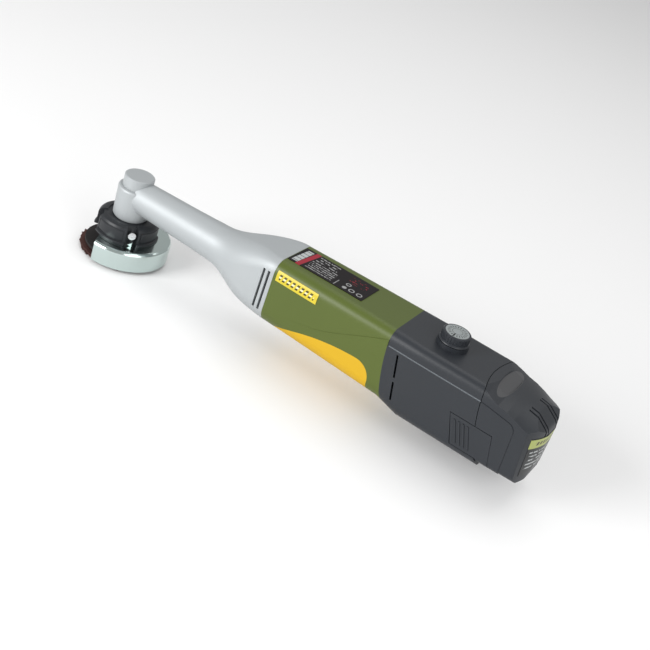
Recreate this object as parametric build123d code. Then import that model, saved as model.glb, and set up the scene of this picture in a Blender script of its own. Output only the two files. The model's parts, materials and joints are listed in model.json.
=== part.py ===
"""Cordless long-neck right-angle grinder with a 50 mm flap disc.

Everything is first drawn about the drive line: X runs back along the drive shaft from the
spindle's axis, Z up along the spindle, and Z = 0 is the drive shaft's centre line. `save`
lowers each piece so that the origin lies at the centre of the head's flat top face.
All sizes are in millimetres.
"""

from build123d import *
import math
import os

# ---------------------------------------------------------------- clearances
seat_gap = 0.03      # radial gap of a piece seated in another one of the same body
running_gap = 0.05   # radial gap of a shaft that turns in a bore
free_gap = 0.35      # gap between shells and pieces that slide or turn past each other

# ---------------------------------------------------------------- gear head and neck
head_top = 12.0            # top face of the head above the drive line
head_shoulder = 5.0        # top of the column, where the cap stands out of it
head_bottom = -13.7        # bottom of the column
column_top_radius = 11.1
column_bottom_radius = 10.6
cap_radius = 8.95
cap_plug_radius = 9.45
cap_wall = 1.7
spigot_radius = 9.8        # round nose below the column, which carries the guard
spigot_bottom = -24.6
neck_front_radius = 9.75
neck_middle_radius = 10.6
neck_middle = 40.0
neck_rear_radius = 11.2
neck_rear = 56.0           # where the round neck starts to flare
neck_fillet = 1.6          # rounding in the corner of the neck and the column
neck_bore_radius = 6.55
flange_face = 110.0        # rear face of the casting, against the motor housing
casting_wall = 2.2

# ---------------------------------------------------------------- bevel gears
gear_module = 0.7
pinion_teeth = 13
crown_teeth = 22
tooth_length = 2.6
tooth_addendum = 0.75      # in modules
tooth_dedendum = 1.0       # in modules
tooth_backlash = 0.10      # taken off each tooth's thickness
pressure_angle = 20.0

# ---------------------------------------------------------------- bearings
small_bearing = (2.5, 6.5, 4.0)    # bore radius, outer radius, width
large_bearing = (4.0, 8.0, 5.0)
upper_bearing_z = 6.3
lower_bearing_z = -21.0
front_bearing_x = 11.5
rear_bearing_x = 83.0

# ---------------------------------------------------------------- disc and guard
disc_radius = 25.0
disc_backing_radius = 22.6
disc_top = -33.8
disc_backing_thickness = 1.6
disc_bottom = -39.0
disc_bore_radius = 5.0
flap_count = 26
flap_inner_radius = 11.0
flange_radius = 8.0
disc_screw_radius = 2.0
disc_screw_head_radius = 4.6
guard_radius = 27.9
guard_top = -25.4
guard_bottom = -37.3
guard_sheet = 1.2
guard_shoulder = 2.2
guard_sleeve_top = -17.0
clamp_top = -14.0
clamp_lobe_radius = 18.4
clamp_core_radius = 15.2
clamp_lip_radius = 19.5    # thin lip under each lobe
clamp_lip_thickness = 1.3
clamp_rounding = 3.4
clamp_groove = 0.35        # groove that outlines each lobe's grip
clamp_lobes = 4
clamp_gap_angle = 22.0     # opening between two lobes, in degrees
clamp_gap_bearing = -44.0  # where the gap with the clamp screw lies, in degrees from X
clamp_screw_z = -19.0

# ---------------------------------------------------------------- housings
# Outer section of the body along X: station, half width, top, bottom, upper and lower corner.
flare_stations = (
    (neck_rear, neck_rear_radius, neck_rear_radius, -neck_rear_radius, 11.0, 11.0),
    (64.0, 11.6, 11.5, -11.6, 11.3, 11.3),
    (73.0, 13.4, 13.0, -13.8, 12.0, 12.0),
    (83.0, 16.6, 16.0, -17.0, 12.0, 12.0),
    (92.0, 18.5, 18.6, -18.8, 11.0, 11.5),
    (100.0, 19.5, 20.0, -19.4, 9.0, 11.0),
    (flange_face, 20.0, 20.5, -19.6, 7.5, 10.0),
)
body_stations = (
    (flange_face, 20.0, 20.5, -19.6, 7.5, 10.0),
    (150.0, 20.6, 20.8, -19.9, 6.8, 8.5),
    (189.0, 21.2, 20.7, -20.4, 5.8, 7.0),
    (203.0, 21.5, 20.5, -24.0, 5.2, 6.5),
    (257.0, 21.5, 20.4, -24.0, 5.0, 6.0),
)
side_inset = (0.1, -0.2, -0.35, -0.35, -0.35)  # of the lower side panels, at the body's stations
grip_line = ((109.0, -11.6), (121.5, -8.4), (145.0, -2.6), (168.5, 8.0), (190.0, 17.4))
panel_line = 12.3          # top edge of the lower side panels of the dark housing
panel_rear = 268.5
underside = -24.3          # flat underside of the dark housing
housing_wall = 2.0
inlay_thickness = 1.2
screw_offset = 13.6        # corner screws, across and up from the drive line
screw_radius = 1.5
screw_head_radius = 2.75
screw_head_height = 2.1
boss_radius = 3.0
split_top = 185.2          # join of the green and the dark housing, at the top
split_middle = 187.3       # the same on the drive line
split_bottom = 192.6       # the same at the bottom
seam_top = 238.2           # join of the dark housing and the battery, on the top centre line
seam_corner = 242.0        # the same at the upper corners
seam_middle = 245.2        # the same on the drive line
seam_bottom = 254.0        # the same at the bottom

# ---------------------------------------------------------------- motor
motor_radius = 15.0
motor_front = 126.0
motor_rear = 168.0
motor_can_wall = 1.2
motor_boss_radius = 5.0
motor_boss_length = 2.4
motor_shaft_radius = 2.5
magnet_thickness = 2.6
armature_radius = 10.6
armature_front = 134.0
armature_rear = 156.0
armature_slots = 7
commutator_radius = 4.2
commutator_front = 159.5
commutator_rear = 166.0
end_bell_rear = 171.5
mount_plate_radius = 16.2
mount_plate_thickness = 2.0
fan_radius = 14.2
fan_front = 112.5
fan_rear = 120.5
fan_blades = 9
coupling_radius = 5.5
coupling_front = 95.5
coupling_rear = 107.5
shaft_joint = 101.5        # where the drive shaft and the motor shaft meet in the coupling

# ---------------------------------------------------------------- electronics and dial
bulkhead_front = 198.0
bulkhead_rear = 200.6
board_x = 190.0
board_thickness = 1.6
board_half_width = 10.4
board_half_height = 15.0
blade_pitch = 7.0
blade_thickness = 0.8
blade_height = 5.0
blade_z = -3.0
blade_front = 193.5
blade_rear = 211.0
dial_x = 211.4
dial_boss_radius = 9.0
dial_boss_top = 23.0
dial_rim_radius = 8.0
dial_bottom = 23.35
dial_top = 28.7
dial_plate_radius = 6.65
dial_plate_thickness = 0.5
dial_shaft_radius = 3.0
dial_flutes = 30
control_half_width = 4.8
control_bottom = 15.5
control_top = 20.4

# ---------------------------------------------------------------- battery pack
cell_radius = 9.15
cell_length = 50.0
cell_pitch = 18.4          # distance between cell centres
cell_front = 215.0
pack_wall = 0.95
pack_bottom = -21.5
pack_nose_x = 204.0
pack_nose_wall = 1.5
pack_corner = 8.0
pack_rear = 278.5
# Crowned top of the pack: station, height on the centre line, height at the sides.
pack_crown = (
    (225.0, 24.0, 22.0),
    (239.0, 22.4, 19.6),
    (244.0, 20.6, 17.4),
    (251.5, 17.9, 14.9),
    (257.0, 17.1, 13.8),
    (262.0, 16.3, 12.0),
    (267.0, 15.6, 9.6),
    (285.0, 12.6, 2.0),
)
pack_scoop = (248.2, 19.1)  # centre of the finger scoop in X and Z
latch_top = -2.2
latch_bottom = -18.8
latch_front_top = 230.6
latch_front_bottom = 236.8
latch_rear_top = 255.4
latch_rear_bottom = 259.4
latch_root_gap = 0.12      # gap at the end where the button turns about
latch_thickness = 1.3
latch_travel = 1.2
latch_ribs = 4
latch_rib_height = 0.4
latch_face = 21.85         # outer face of the latch buttons, flush with the pack's sides

# ---------------------------------------------------------------- battery well
well_half_width = 19.7
well_top = 15.3
well_bottom = pack_bottom - free_gap
contact_half_width = 11.0
pack_half_width = well_half_width - free_gap
pack_top = well_top - free_gap
cell_low_z = pack_bottom + pack_wall + 0.2 + cell_radius
cell_high_z = cell_low_z + math.sqrt(cell_pitch ** 2 - (cell_pitch / 2) ** 2)
cell_centres = ((-cell_pitch / 2, cell_low_z), (cell_pitch / 2, cell_low_z), (0.0, cell_high_z))

reach = 60.0               # half size of the cutting blocks, larger than the body
everything = (-reach, reach)


# ================================================================ drawing helpers
def rod_x(radius, start, end, y=0.0, z=0.0):
    """Round bar along X between two stations."""
    bar = Cylinder(radius, end - start, align=(Align.CENTER, Align.CENTER, Align.MIN))
    return Pos(start, y, z) * Rot(0, 90, 0) * bar


def rod_z(radius, low, high, x=0.0, y=0.0):
    """Round bar along Z between two heights."""
    bar = Cylinder(radius, high - low, align=(Align.CENTER, Align.CENTER, Align.MIN))
    return Pos(x, y, low) * bar


def block(x, y, z):
    """Box between two stations on each axis, given as three (low, high) pairs."""
    box = Box(x[1] - x[0], y[1] - y[0], z[1] - z[0])
    return Pos((x[0] + x[1]) / 2, (y[0] + y[1]) / 2, (z[0] + z[1]) / 2) * box


def turned_z(profile):
    """Solid of revolution about Z from (radius, height) points."""
    return revolve(Plane.XZ * make_face(Polyline(*profile, close=True)), Axis.Z)


def turned_x(profile):
    """Solid of revolution about X from (station, radius) points."""
    return revolve(make_face(Polyline(*profile, close=True)), Axis.X)


def side_prism(outline, y_low, y_high):
    """Outline given as (x, z) points or as a wire, drawn out from y_low to y_high."""
    wire = Polyline(*outline, close=True) if isinstance(outline, (list, tuple)) else outline
    face = Plane.XZ.offset(-y_low) * make_face(wire)
    return extrude(face, -(y_high - y_low))


def mirrored(piece):
    """The same piece on the other side of the tool."""
    return mirror(piece, Plane.XZ)


def section(x, half_width, top, bottom, upper_corner, lower_corner, inset=0.0):
    """Rounded cross-section of the body at one station, moved inwards by an inset."""
    width = half_width - inset
    high = top - inset
    low = bottom + inset
    upper = max(upper_corner - inset, 0.6)
    lower = max(lower_corner - inset, 0.6)
    corners = ((-width, low), (width, low), (width, high), (-width, high))
    outline = FilletPolyline(*corners, radius=[lower, lower, upper, upper], close=True)
    return Plane.YZ.offset(x) * make_face(outline)


def envelope(stations, inset=0.0, smooth=False):
    """Body through its stations, moved inwards by one inset or by an inset for each station."""
    insets = inset if isinstance(inset, tuple) else (inset,) * len(stations)
    sections = [section(*station, inset=value) for station, value in zip(stations, insets)]
    return loft(sections, ruled=not smooth)


def lower_body():
    """The body drawn a little larger, for the side panels that stand proud."""
    return envelope(body_stations, side_inset)


def corner_points():
    """The four corner screw positions in Y and Z."""
    return [(y, z) for y in (-screw_offset, screw_offset) for z in (-screw_offset, screw_offset)]


def corner_bosses(start, end, stations):
    """Four screw bosses along X, each tied to the nearest side wall and roof or floor by a web."""
    inside = envelope(stations, 0.5)
    bosses = []
    for y, z in corner_points():
        y_wall = math.copysign(reach, y)
        z_wall = math.copysign(reach, z)
        webs = block((start, end), sorted((y, y_wall)), (z - 1.0, z + 1.0))
        webs += block((start, end), (y - 1.0, y + 1.0), sorted((z, z_wall)))
        bosses += [rod_x(boss_radius, start, end, y, z), webs & inside]
    return bosses


def join(pieces):
    """One piece fused from several."""
    first, *others = pieces
    return first.fuse(*others).clean() if others else first


def save(node, *pieces):
    """Write one node, lowered so that the origin is on the head's top face."""
    solids = [Pos(0, 0, -head_top) * solid for piece in pieces for solid in piece.solids()]
    shape = solids[0] if len(solids) == 1 else Compound(children=solids)
    export_step(shape, f"parts/{node}.step")
    print(node, len(solids))


# ================================================================ cutting surfaces
def behind_split():
    """Space behind the curved join of the green and the dark housing."""
    curve = ThreePointArc((split_top, 14.0), (split_middle, -2.5), (split_bottom, -21.0))
    start, end = curve @ 0, curve @ 1
    rest = Polyline(
        (end.X, end.Y), (end.X, -reach), (end.X + 2 * reach, -reach),
        (end.X + 2 * reach, reach), (start.X, reach), (start.X, start.Y),
    )
    return side_prism(Wire([curve, *rest.edges()]), -reach, reach)


def behind_seam(gap=0.0):
    """Space behind the join of the dark housing and the battery."""
    side = ThreePointArc((seam_corner, 17.0), (seam_middle, -2.0), (seam_bottom, -24.0))
    far = seam_bottom + 2 * reach
    rest = Polyline(
        (seam_bottom, -24.0), (seam_bottom, -reach), (far, -reach), (far, reach),
        (seam_top - 4.0, reach), (seam_top - 4.0, 23.0), (seam_corner, 17.0),
    )
    lengthways = side_prism(Wire([side, *rest.edges()]), -reach, reach)
    plan_arc = ThreePointArc((seam_corner + 1.0, -24.0), (seam_top, 0.0), (seam_corner + 1.0, 24.0))
    plan_rest = Polyline((seam_corner + 1.0, 24.0), (far, 24.0), (far, -24.0), (seam_corner + 1.0, -24.0))
    plan = Pos(0, 0, -reach) * extrude(
        make_face(Wire([plan_arc, *plan_rest.edges()])), 2 * reach)
    return Pos(gap, 0, 0) * (lengthways & plan)


def below_grip_line():
    """Space below the line that sweeps up along the side of the green housing."""
    curve = Spline(*grip_line)
    front, rear = grip_line[0], grip_line[-1]
    rest = Polyline(rear, (rear[0] + 10, rear[1]), (rear[0] + 10, -reach), (front[0], -reach), front)
    return side_prism(Wire([curve, *rest.edges()]), *everything)


def below_panel_line():
    """Space below the edge that runs along the dark housing and the pack, down to its rear end."""
    outline = FilletPolyline(
        (180.0, panel_line), (245.0, panel_line), (264.0, 9.4), (panel_rear, -reach), (180.0, -reach),
        radius=[0.5, 40.0, 5.0, 0.5, 0.5], close=True)
    return side_prism(outline, *everything)


def latch_outline(grow=0.0, rear_grow=0.0):
    """Slanted outline of a latch button in X and Z, grown by a gap and by a smaller one behind."""
    return (
        (latch_front_top - grow, latch_top + grow),
        (latch_rear_top + rear_grow, latch_top + grow),
        (latch_rear_bottom + rear_grow, latch_bottom - grow),
        (latch_front_bottom - grow, latch_bottom - grow),
    )


def notch_outline():
    """Notch for a latch button in the dark housing, open to the rear."""
    return (
        (latch_front_top - free_gap, latch_top + free_gap),
        (seam_bottom + 10.0, latch_top + free_gap),
        (seam_bottom + 10.0, latch_bottom - free_gap),
        (latch_front_bottom - free_gap, latch_bottom - free_gap),
    )


# ================================================================ bearings and gears
def bearing(size):
    """Ball bearing along Z: outer ring, inner ring and balls as separate solids."""
    bore, outer, width = size
    middle = (bore + outer) / 2
    ball = (outer - bore) * 0.27
    ring = (outer - bore) * 0.30
    groove = Pos(0, 0, width / 2) * Torus(middle, ball + seat_gap)
    outer_ring = rod_z(outer - seat_gap, 0, width) - rod_z(outer - ring, -1, width + 1) - groove
    inner_ring = rod_z(bore + ring, 0, width) - rod_z(bore + running_gap, -1, width + 1) - groove
    count = int(2 * math.pi * middle / (2.35 * ball))
    balls = [
        Pos(0, 0, width / 2) * Rot(0, 0, 360 * i / count) * Pos(middle, 0, 0) * Sphere(ball)
        for i in range(count)
    ]
    return [outer_ring, inner_ring, *balls]


def bevel_gear(teeth, mating_teeth, turn, bore, back, hub_radius):
    """Straight bevel gear about Z with its pitch apex at the origin, teeth towards -Z side up.

    The tooth is an involute of the virtual spur gear on the back cone, drawn straight to the
    apex. `back` is the height of the flat back face above the apex.
    """
    pitch_angle = math.atan2(teeth, mating_teeth)
    pitch_radius = gear_module * teeth / 2
    cone = pitch_radius / math.sin(pitch_angle)
    small = (cone - tooth_length) / cone
    virtual = pitch_radius / math.cos(pitch_angle)
    base = virtual * math.cos(math.radians(pressure_angle))
    root = virtual - tooth_dedendum * gear_module
    tip = virtual + tooth_addendum * gear_module

    def roll(radius):
        """Involute function of the angle at a radius."""
        if radius <= base:
            return 0.0
        angle = math.acos(base / radius)
        return math.tan(angle) - angle

    half_pitch = (math.pi * gear_module / 2 - tooth_backlash) / (2 * virtual) + roll(virtual)
    foot = root - 0.25
    radii = [foot, max(root, base)] + [base + (tip - base) * i / 4 for i in range(1, 5)]
    if root > base:
        radii = [foot] + [root + (tip - root) * i / 4 for i in range(5)]
    flank = [(r * math.sin(half_pitch - roll(r)), r * math.cos(half_pitch - roll(r))) for r in radii]
    outline = flank + [(-across, along) for across, along in reversed(flank)]

    apex = cone / math.cos(pitch_angle)

    def place(across, along, scale):
        """Point of the virtual gear's plane in space, shrunk towards the pitch apex."""
        radial = along * math.cos(pitch_angle)
        height = apex - along * math.sin(pitch_angle)
        return (scale * radial, scale * across, scale * height)

    ends = [make_face(Polyline(*[place(a, b, s) for a, b in outline], close=True)) for s in (1.0, small)]
    tooth = loft(ends, ruled=True)
    ring = [Rot(0, 0, turn + 360 * i / teeth) * tooth for i in range(teeth)]

    root_radius = root * math.cos(pitch_angle)
    root_height = apex - root * math.sin(pitch_angle)
    body = turned_z((
        (bore, small * root_height), (small * root_radius, small * root_height),
        (root_radius, root_height), (hub_radius, back), (bore, back),
    ))
    return body.fuse(*ring)


def along_drive(piece):
    """Lay a piece drawn about Z along the drive line."""
    return Rot(0, 90, 0) * piece


# ================================================================ gear head
def gear_head_housing():
    """Casting: column, neck, flare and flange, bored for the spindle and the drive shaft."""
    shoulder = 1.4
    column = turned_z((
        (0, head_bottom), (column_bottom_radius, head_bottom),
        (column_top_radius, head_shoulder - shoulder),
        (column_top_radius - shoulder * 0.3, head_shoulder - shoulder * 0.3),
        (column_top_radius - shoulder, head_shoulder), (0, head_shoulder),
    ))
    spigot = rod_z(spigot_radius, spigot_bottom, head_bottom + 1)
    neck = turned_x((
        (4.5, 0), (4.5, neck_front_radius), (neck_middle, neck_middle_radius),
        (neck_rear, neck_rear_radius), (neck_rear, 0),
    ))
    flare = envelope(flare_stations, smooth=True)
    casting = join([column, spigot, neck, flare])

    hollow = envelope(flare_stations[3:], casting_wall)
    gear_room = rod_z(cap_plug_radius - 0.9, -10.5, head_shoulder)
    plug_seat = rod_z(cap_plug_radius + seat_gap, 1.5, head_shoulder)
    cap_hole = rod_z(cap_radius + seat_gap, head_shoulder - 0.1, head_top + 1)
    lower_seat = rod_z(large_bearing[1], spigot_bottom - 1, lower_bearing_z + large_bearing[2])
    spindle_hole = rod_z(6.0, -17, -9)
    shaft_bore = rod_x(neck_bore_radius - 0.05, 6.0, rear_bearing_x + 8)
    casting = casting - hollow - gear_room - plug_seat - cap_hole - lower_seat - spindle_hole - shaft_bore

    casting = join([casting, *corner_bosses(101.0, flange_face, flare_stations[4:])])
    for y, z in corner_points():
        casting -= rod_x(screw_radius + seat_gap, 102.0, flange_face + 1, y, z)
    for x in (103.7, 107.0):
        casting -= block((x - 0.75, x + 0.75), (-reach, -15.5), (-11.5, 13.3))
        casting -= block((x - 0.75, x + 0.75), (15.5, reach), (-11.5, 13.3))
    return casting


def head_top_cap():
    """Pressed cap that closes the head and holds the upper spindle bearing."""
    seat = small_bearing[1]
    room = cap_plug_radius - 1.0
    bevel = 0.5
    cap = turned_z((
        (0, head_top), (cap_radius - bevel, head_top), (cap_radius, head_top - bevel),
        (cap_radius, head_shoulder), (cap_plug_radius, head_shoulder), (cap_plug_radius, 1.8),
        (room, 1.8), (room, upper_bearing_z - 0.2), (seat, upper_bearing_z - 0.2),
        (seat, head_top - cap_wall), (0, head_top - cap_wall),
    ))
    pinion_room = block((4.0, cap_plug_radius + 1), (-5.6, 5.6), (0, head_shoulder - 0.1))
    return cap - pinion_room


def bearing_retainer():
    """Threaded ring under the lower bearing, with two spanner holes."""
    low = spigot_bottom + 0.4
    ring = rod_z(large_bearing[1] - seat_gap, low, lower_bearing_z - 0.05)
    ring -= rod_z(5.4, low - 1, lower_bearing_z + 1)
    for side in (-1, 1):
        ring -= rod_z(0.6, low - 1, low + 1.5, y=6.7 * side)
    return ring


def output_spindle():
    """Spindle with seats for both bearings and the crown gear, tapped from below."""
    seat = large_bearing[0]
    upper = small_bearing[0]
    profile = (
        (0, upper_bearing_z + small_bearing[2]), (upper, upper_bearing_z + small_bearing[2]),
        (upper, upper_bearing_z - 0.3), (3.0, upper_bearing_z - 0.3), (3.0, -14.2), (5.2, -14.2),
        (5.2, lower_bearing_z + large_bearing[2] + 0.05), (seat, lower_bearing_z + large_bearing[2]),
        (seat, disc_top + 1.0), (0, disc_top + 1.0),
    )
    return turned_z(profile) - rod_z(disc_screw_radius + seat_gap, disc_top, disc_top + 9)


def crown_bevel_gear():
    """Large bevel gear on the spindle, above the pinion."""
    half_tooth = 180.0 / crown_teeth
    return bevel_gear(crown_teeth, pinion_teeth, half_tooth, 3.0 + seat_gap, upper_bearing_z - 0.5, 6.2)


def bevel_pinion():
    """Small bevel gear on the front end of the drive shaft."""
    gear = bevel_gear(pinion_teeth, crown_teeth, 180.0, small_bearing[0] + seat_gap, 9.6, 3.9)
    return along_drive(gear)


# ================================================================ disc
def inner_flange():
    """Flange on the spindle that the disc is clamped against, with a centring nose."""
    back = disc_top + 3.2
    nose = disc_top - disc_backing_thickness + 0.2
    return turned_z((
        (large_bearing[0] + seat_gap, back), (6.0, back), (flange_radius, back - 1.6),
        (flange_radius, disc_top), (disc_bore_radius - seat_gap, disc_top),
        (disc_bore_radius - seat_gap, nose), (disc_screw_radius + 0.1, nose),
        (disc_screw_radius + 0.1, disc_top + 1.0), (large_bearing[0] + seat_gap, disc_top + 1.0),
    ))


def disc_backing():
    """Flat backing plate of the flap disc."""
    plate = rod_z(disc_backing_radius, disc_top - disc_backing_thickness, disc_top)
    return plate - rod_z(disc_bore_radius, disc_bottom, disc_top + 1)


def abrasive_flaps():
    """Overlapping flaps under the backing plate, each sloping down to its trailing edge."""
    pitch = 360.0 / flap_count
    top = disc_top - disc_backing_thickness
    gap_angle = 1.2
    span = math.radians(pitch - gap_angle)
    flaps = []
    for i in range(flap_count):
        wedge = rod_z(disc_radius, disc_bottom, top) - rod_z(flap_inner_radius, disc_bottom - 1, top + 1)
        far = 2 * disc_radius
        sector = make_face(Polyline(
            (0, 0), (far, 0), (far * math.cos(span), far * math.sin(span)), close=True))
        wedge &= Pos(0, 0, disc_bottom - 1) * extrude(sector, top - disc_bottom + 2)
        step = 1.1
        tilt = math.degrees(math.atan2(step, disc_radius * span))
        under = Pos(0, 0, disc_bottom + step) * Rot(-tilt, 0, 0) * block((0, far), (-far, far), (-far, 0))
        flaps.append(Rot(0, 0, pitch * i) * (wedge - under))
    return flaps


def outer_flange():
    """Dished washer below the disc."""
    top = disc_top - disc_backing_thickness
    return turned_z((
        (disc_screw_radius + 0.1, top), (flange_radius, top), (flange_radius, top - 0.9),
        (6.4, top - 1.5), (disc_screw_radius + 0.1, top - 1.5),
    ))


def disc_screw():
    """Socket head screw that clamps the disc to the spindle."""
    seat = disc_top - disc_backing_thickness - 1.5
    screw = rod_z(disc_screw_head_radius, disc_bottom + 0.4, seat)
    screw += rod_z(disc_screw_radius, seat, disc_top + 8.5)
    socket = Pos(0, 0, disc_bottom) * extrude(RegularPolygon(1.7, 6), 1.5)
    return screw - socket


# ================================================================ guard
def wheel_guard():
    """Half-round steel guard with a full inner ring and a sleeve round the head's spigot."""
    inner = spigot_radius + free_gap
    sleeve = inner + guard_sheet - 0.2
    outer = guard_radius
    bend = guard_shoulder
    steps = [math.radians(90 * i / 4) for i in range(5)]
    shoulder = [
        (outer - bend + bend * math.sin(a), guard_top - bend + bend * math.cos(a)) for a in steps]
    inside = [
        (outer - bend + (bend - guard_sheet) * math.sin(a), guard_top - bend + (bend - guard_sheet) * math.cos(a))
        for a in reversed(steps)]
    shell = turned_z([(inner, guard_top), *shoulder, (outer, guard_bottom),
                      (outer - guard_sheet, guard_bottom), *inside, (inner, guard_top - guard_sheet)])
    open_side = make_face(Polyline(
        (-0.5, guard_radius + 1), (-5.9, 16.6), (-15.6, 6.0), (-15.6, -6.0), (-5.9, -16.6),
        (-0.5, -guard_radius - 1), (-40, -guard_radius - 1), (-40, guard_radius + 1), close=True))
    cutter = Pos(0, 0, guard_bottom - 1) * extrude(open_side, guard_top - guard_bottom + 2)
    collar = rod_z(sleeve, guard_top - 0.1, guard_sleeve_top) - rod_z(inner, guard_top - 1, guard_sleeve_top + 1)
    hole = rod_z(1.8, 0, 30)
    screw_hole = Pos(0, 0, clamp_screw_z) * Rot(0, 0, clamp_gap_bearing) * Rot(0, 90, 0) * hole
    return join([shell - cutter, collar]) - screw_hole


def sector(half_angle, direction, low, high):
    """Wedge about Z between two heights, opening to both sides of a direction in degrees."""
    far = 2 * clamp_lobe_radius
    across = far * math.tan(math.radians(half_angle))
    face = make_face(Polyline((0, 0), (far, -across), (far, across), close=True))
    return Rot(0, 0, direction) * Pos(0, 0, low) * extrude(face, high - low)


def guard_clamp():
    """Black clamping collar with four grip lobes, standing on the guard."""
    sleeve = spigot_radius + free_gap + guard_sheet - 0.2 + seat_gap
    inner = clamp_core_radius - 2
    edge = clamp_rounding
    core = rod_z(clamp_core_radius, guard_top, clamp_top - 0.6) - rod_z(sleeve, guard_top - 1, guard_sleeve_top + 0.2)
    core -= rod_z(spigot_radius + free_gap, guard_top, clamp_top + 1)
    corner = [
        (clamp_lobe_radius - edge + edge * math.cos(turn), clamp_top - edge + edge * math.sin(turn))
        for turn in [math.radians(22.5 * i) for i in range(5)]]
    lobe_ring = turned_z([
        (inner, guard_top), (clamp_lip_radius, guard_top), (clamp_lip_radius, guard_top + clamp_lip_thickness - 0.4),
        (clamp_lip_radius - 0.4, guard_top + clamp_lip_thickness),
        (clamp_lobe_radius, guard_top + clamp_lip_thickness + 0.3), *corner, (inner, clamp_top)])
    groove_ring = rod_z(clamp_lobe_radius + 1, guard_top, clamp_top) - rod_z(
        clamp_lobe_radius - clamp_groove, guard_top - 1, clamp_top + 1)
    low, high = guard_top + 2.4, clamp_top - 3.0
    half_lobe = (360.0 / clamp_lobes - clamp_gap_angle) / 2
    lobes = []
    for i in range(clamp_lobes):
        direction = clamp_gap_bearing + 360.0 / clamp_lobes * (i + 0.5)
        lobe = lobe_ring & sector(half_lobe, direction, guard_top - 1, clamp_top + 1)
        lobe = fillet(lobe.edges().filter_by(Axis.Z).sort_by(lambda edge: -edge.center().length)[:2], 1.2)
        outline = sector(half_lobe - 4.5, direction, low - 0.5, high + 0.5) - sector(half_lobe - 6.2, direction, low, high)
        lobes.append(lobe - (groove_ring & outline))
    hole = rod_z(1.8, 0, 30)
    collar = join([core, *lobes])
    return collar - Pos(0, 0, clamp_screw_z) * Rot(0, 0, clamp_gap_bearing) * Rot(0, 90, 0) * hole


def clamp_screw():
    """Screw that tightens the collar, pointing at the spindle's axis."""
    start = spigot_radius + 0.2
    shank = rod_z(1.5, start, clamp_core_radius + 0.2)
    head = rod_z(2.3, clamp_core_radius + 0.2, clamp_lobe_radius - 0.3)
    slot = Pos(0, 0, clamp_lobe_radius - 0.3) * Box(0.6, 6, 1.4)
    screw = shank + head - slot
    return Pos(0, 0, clamp_screw_z) * Rot(0, 0, clamp_gap_bearing) * Rot(0, 90, 0) * screw


# ================================================================ drive line
def drive_shaft():
    """Long shaft through the neck."""
    return rod_x(small_bearing[0], 7.0, shaft_joint - 0.2)


def shaft_coupling():
    """Sleeve that joins the drive shaft to the motor shaft, flattened for its grub screws."""
    sleeve = rod_x(coupling_radius, coupling_front, coupling_rear)
    sleeve -= rod_x(small_bearing[0] + seat_gap, coupling_front - 1, coupling_rear + 1)
    for x in (coupling_front + 3, coupling_rear - 3):
        sleeve -= rod_z(1.2, 0, coupling_radius + 1, x=x)
    return sleeve


def motor_shaft():
    """Motor shaft, from the coupling to the rear bush."""
    return rod_x(motor_shaft_radius, shaft_joint + 0.2, end_bell_rear - 0.8)


def cooling_fan():
    """Radial fan with a hub, a back plate and straight blades."""
    hub = rod_x(5.0, fan_front, fan_rear)
    plate = rod_x(fan_radius, fan_rear - 1.2, fan_rear)
    blades = [
        Rot(360 * i / fan_blades, 0, 0) * block((fan_front + 1, fan_rear), (-0.5, 0.5), (4.0, fan_radius))
        for i in range(fan_blades)]
    return join([hub, plate, *blades]) - rod_x(motor_shaft_radius + seat_gap, fan_front - 1, fan_rear + 1)


# ================================================================ motor
def motor_can():
    """Steel can, closed in front round the bearing boss, open at the back."""
    can = rod_x(motor_radius, motor_front, motor_rear)
    can -= rod_x(motor_radius - motor_can_wall, motor_front + motor_can_wall, motor_rear + 1)
    boss = rod_x(motor_boss_radius, motor_front - motor_boss_length, motor_front + 3)
    can = join([can, boss]) - rod_x(motor_shaft_radius + 1.5, motor_front - 9, motor_front + 9)
    for side in (-1, 1):
        can -= rod_x(screw_radius - 0.2 + seat_gap, motor_front - 1, motor_front + 3, y=9.0 * side)
        can -= block((motor_front - 1, motor_front + 3), (-3, 3), sorted((8.0 * side, 12.0 * side)))
    return can


def motor_end_bell():
    """Plastic rear cover of the motor with the brush boxes."""
    inner = motor_radius - motor_can_wall - seat_gap
    bell = rod_x(motor_radius, motor_rear, end_bell_rear) + rod_x(inner, motor_rear - 2, motor_rear + 1)
    bell -= rod_x(inner - 1.8, motor_rear - 3, motor_rear + 1.2)
    bell -= rod_x(motor_shaft_radius + 1.5, motor_rear - 3, end_bell_rear + 1)
    for side in (-1, 1):
        bell -= block((motor_rear - 4, end_bell_rear + 1), sorted((9.0 * side, 11.5 * side)), (-2.5, 2.5))
    return bell


def motor_bushings():
    """Plain bearing bushes of the motor shaft, front and rear."""
    front = rod_x(motor_shaft_radius + 1.5 - seat_gap, motor_front - motor_boss_length, motor_front + 3)
    rear = rod_x(motor_shaft_radius + 1.5 - seat_gap, motor_rear + 1.3, end_bell_rear)
    hole = rod_x(motor_shaft_radius + running_gap, motor_front - 5, end_bell_rear + 5)
    return front - hole, rear - hole


def field_magnets():
    """Two arc magnets in the can."""
    outer = motor_radius - motor_can_wall - seat_gap
    ring = rod_x(outer, armature_front - 2, armature_rear + 2)
    ring -= rod_x(outer - magnet_thickness, armature_front - 3, armature_rear + 3)
    gap = block((armature_front - 5, armature_rear + 5), (-4.5, 4.5), (-motor_radius, motor_radius))
    return (ring - gap).solids()


def armature_core():
    """Slotted iron core on the motor shaft."""
    core = rod_x(armature_radius, armature_front, armature_rear)
    for i in range(armature_slots):
        slot = rod_x(2.1, armature_front - 1, armature_rear + 1, z=7.1)
        mouth = block((armature_front - 1, armature_rear + 1), (-0.6, 0.6), (7.1, armature_radius + 1))
        core -= Rot(360 * i / armature_slots, 0, 0) * (slot + mouth)
    return core - rod_x(motor_shaft_radius + seat_gap, armature_front - 1, armature_rear + 1)


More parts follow.
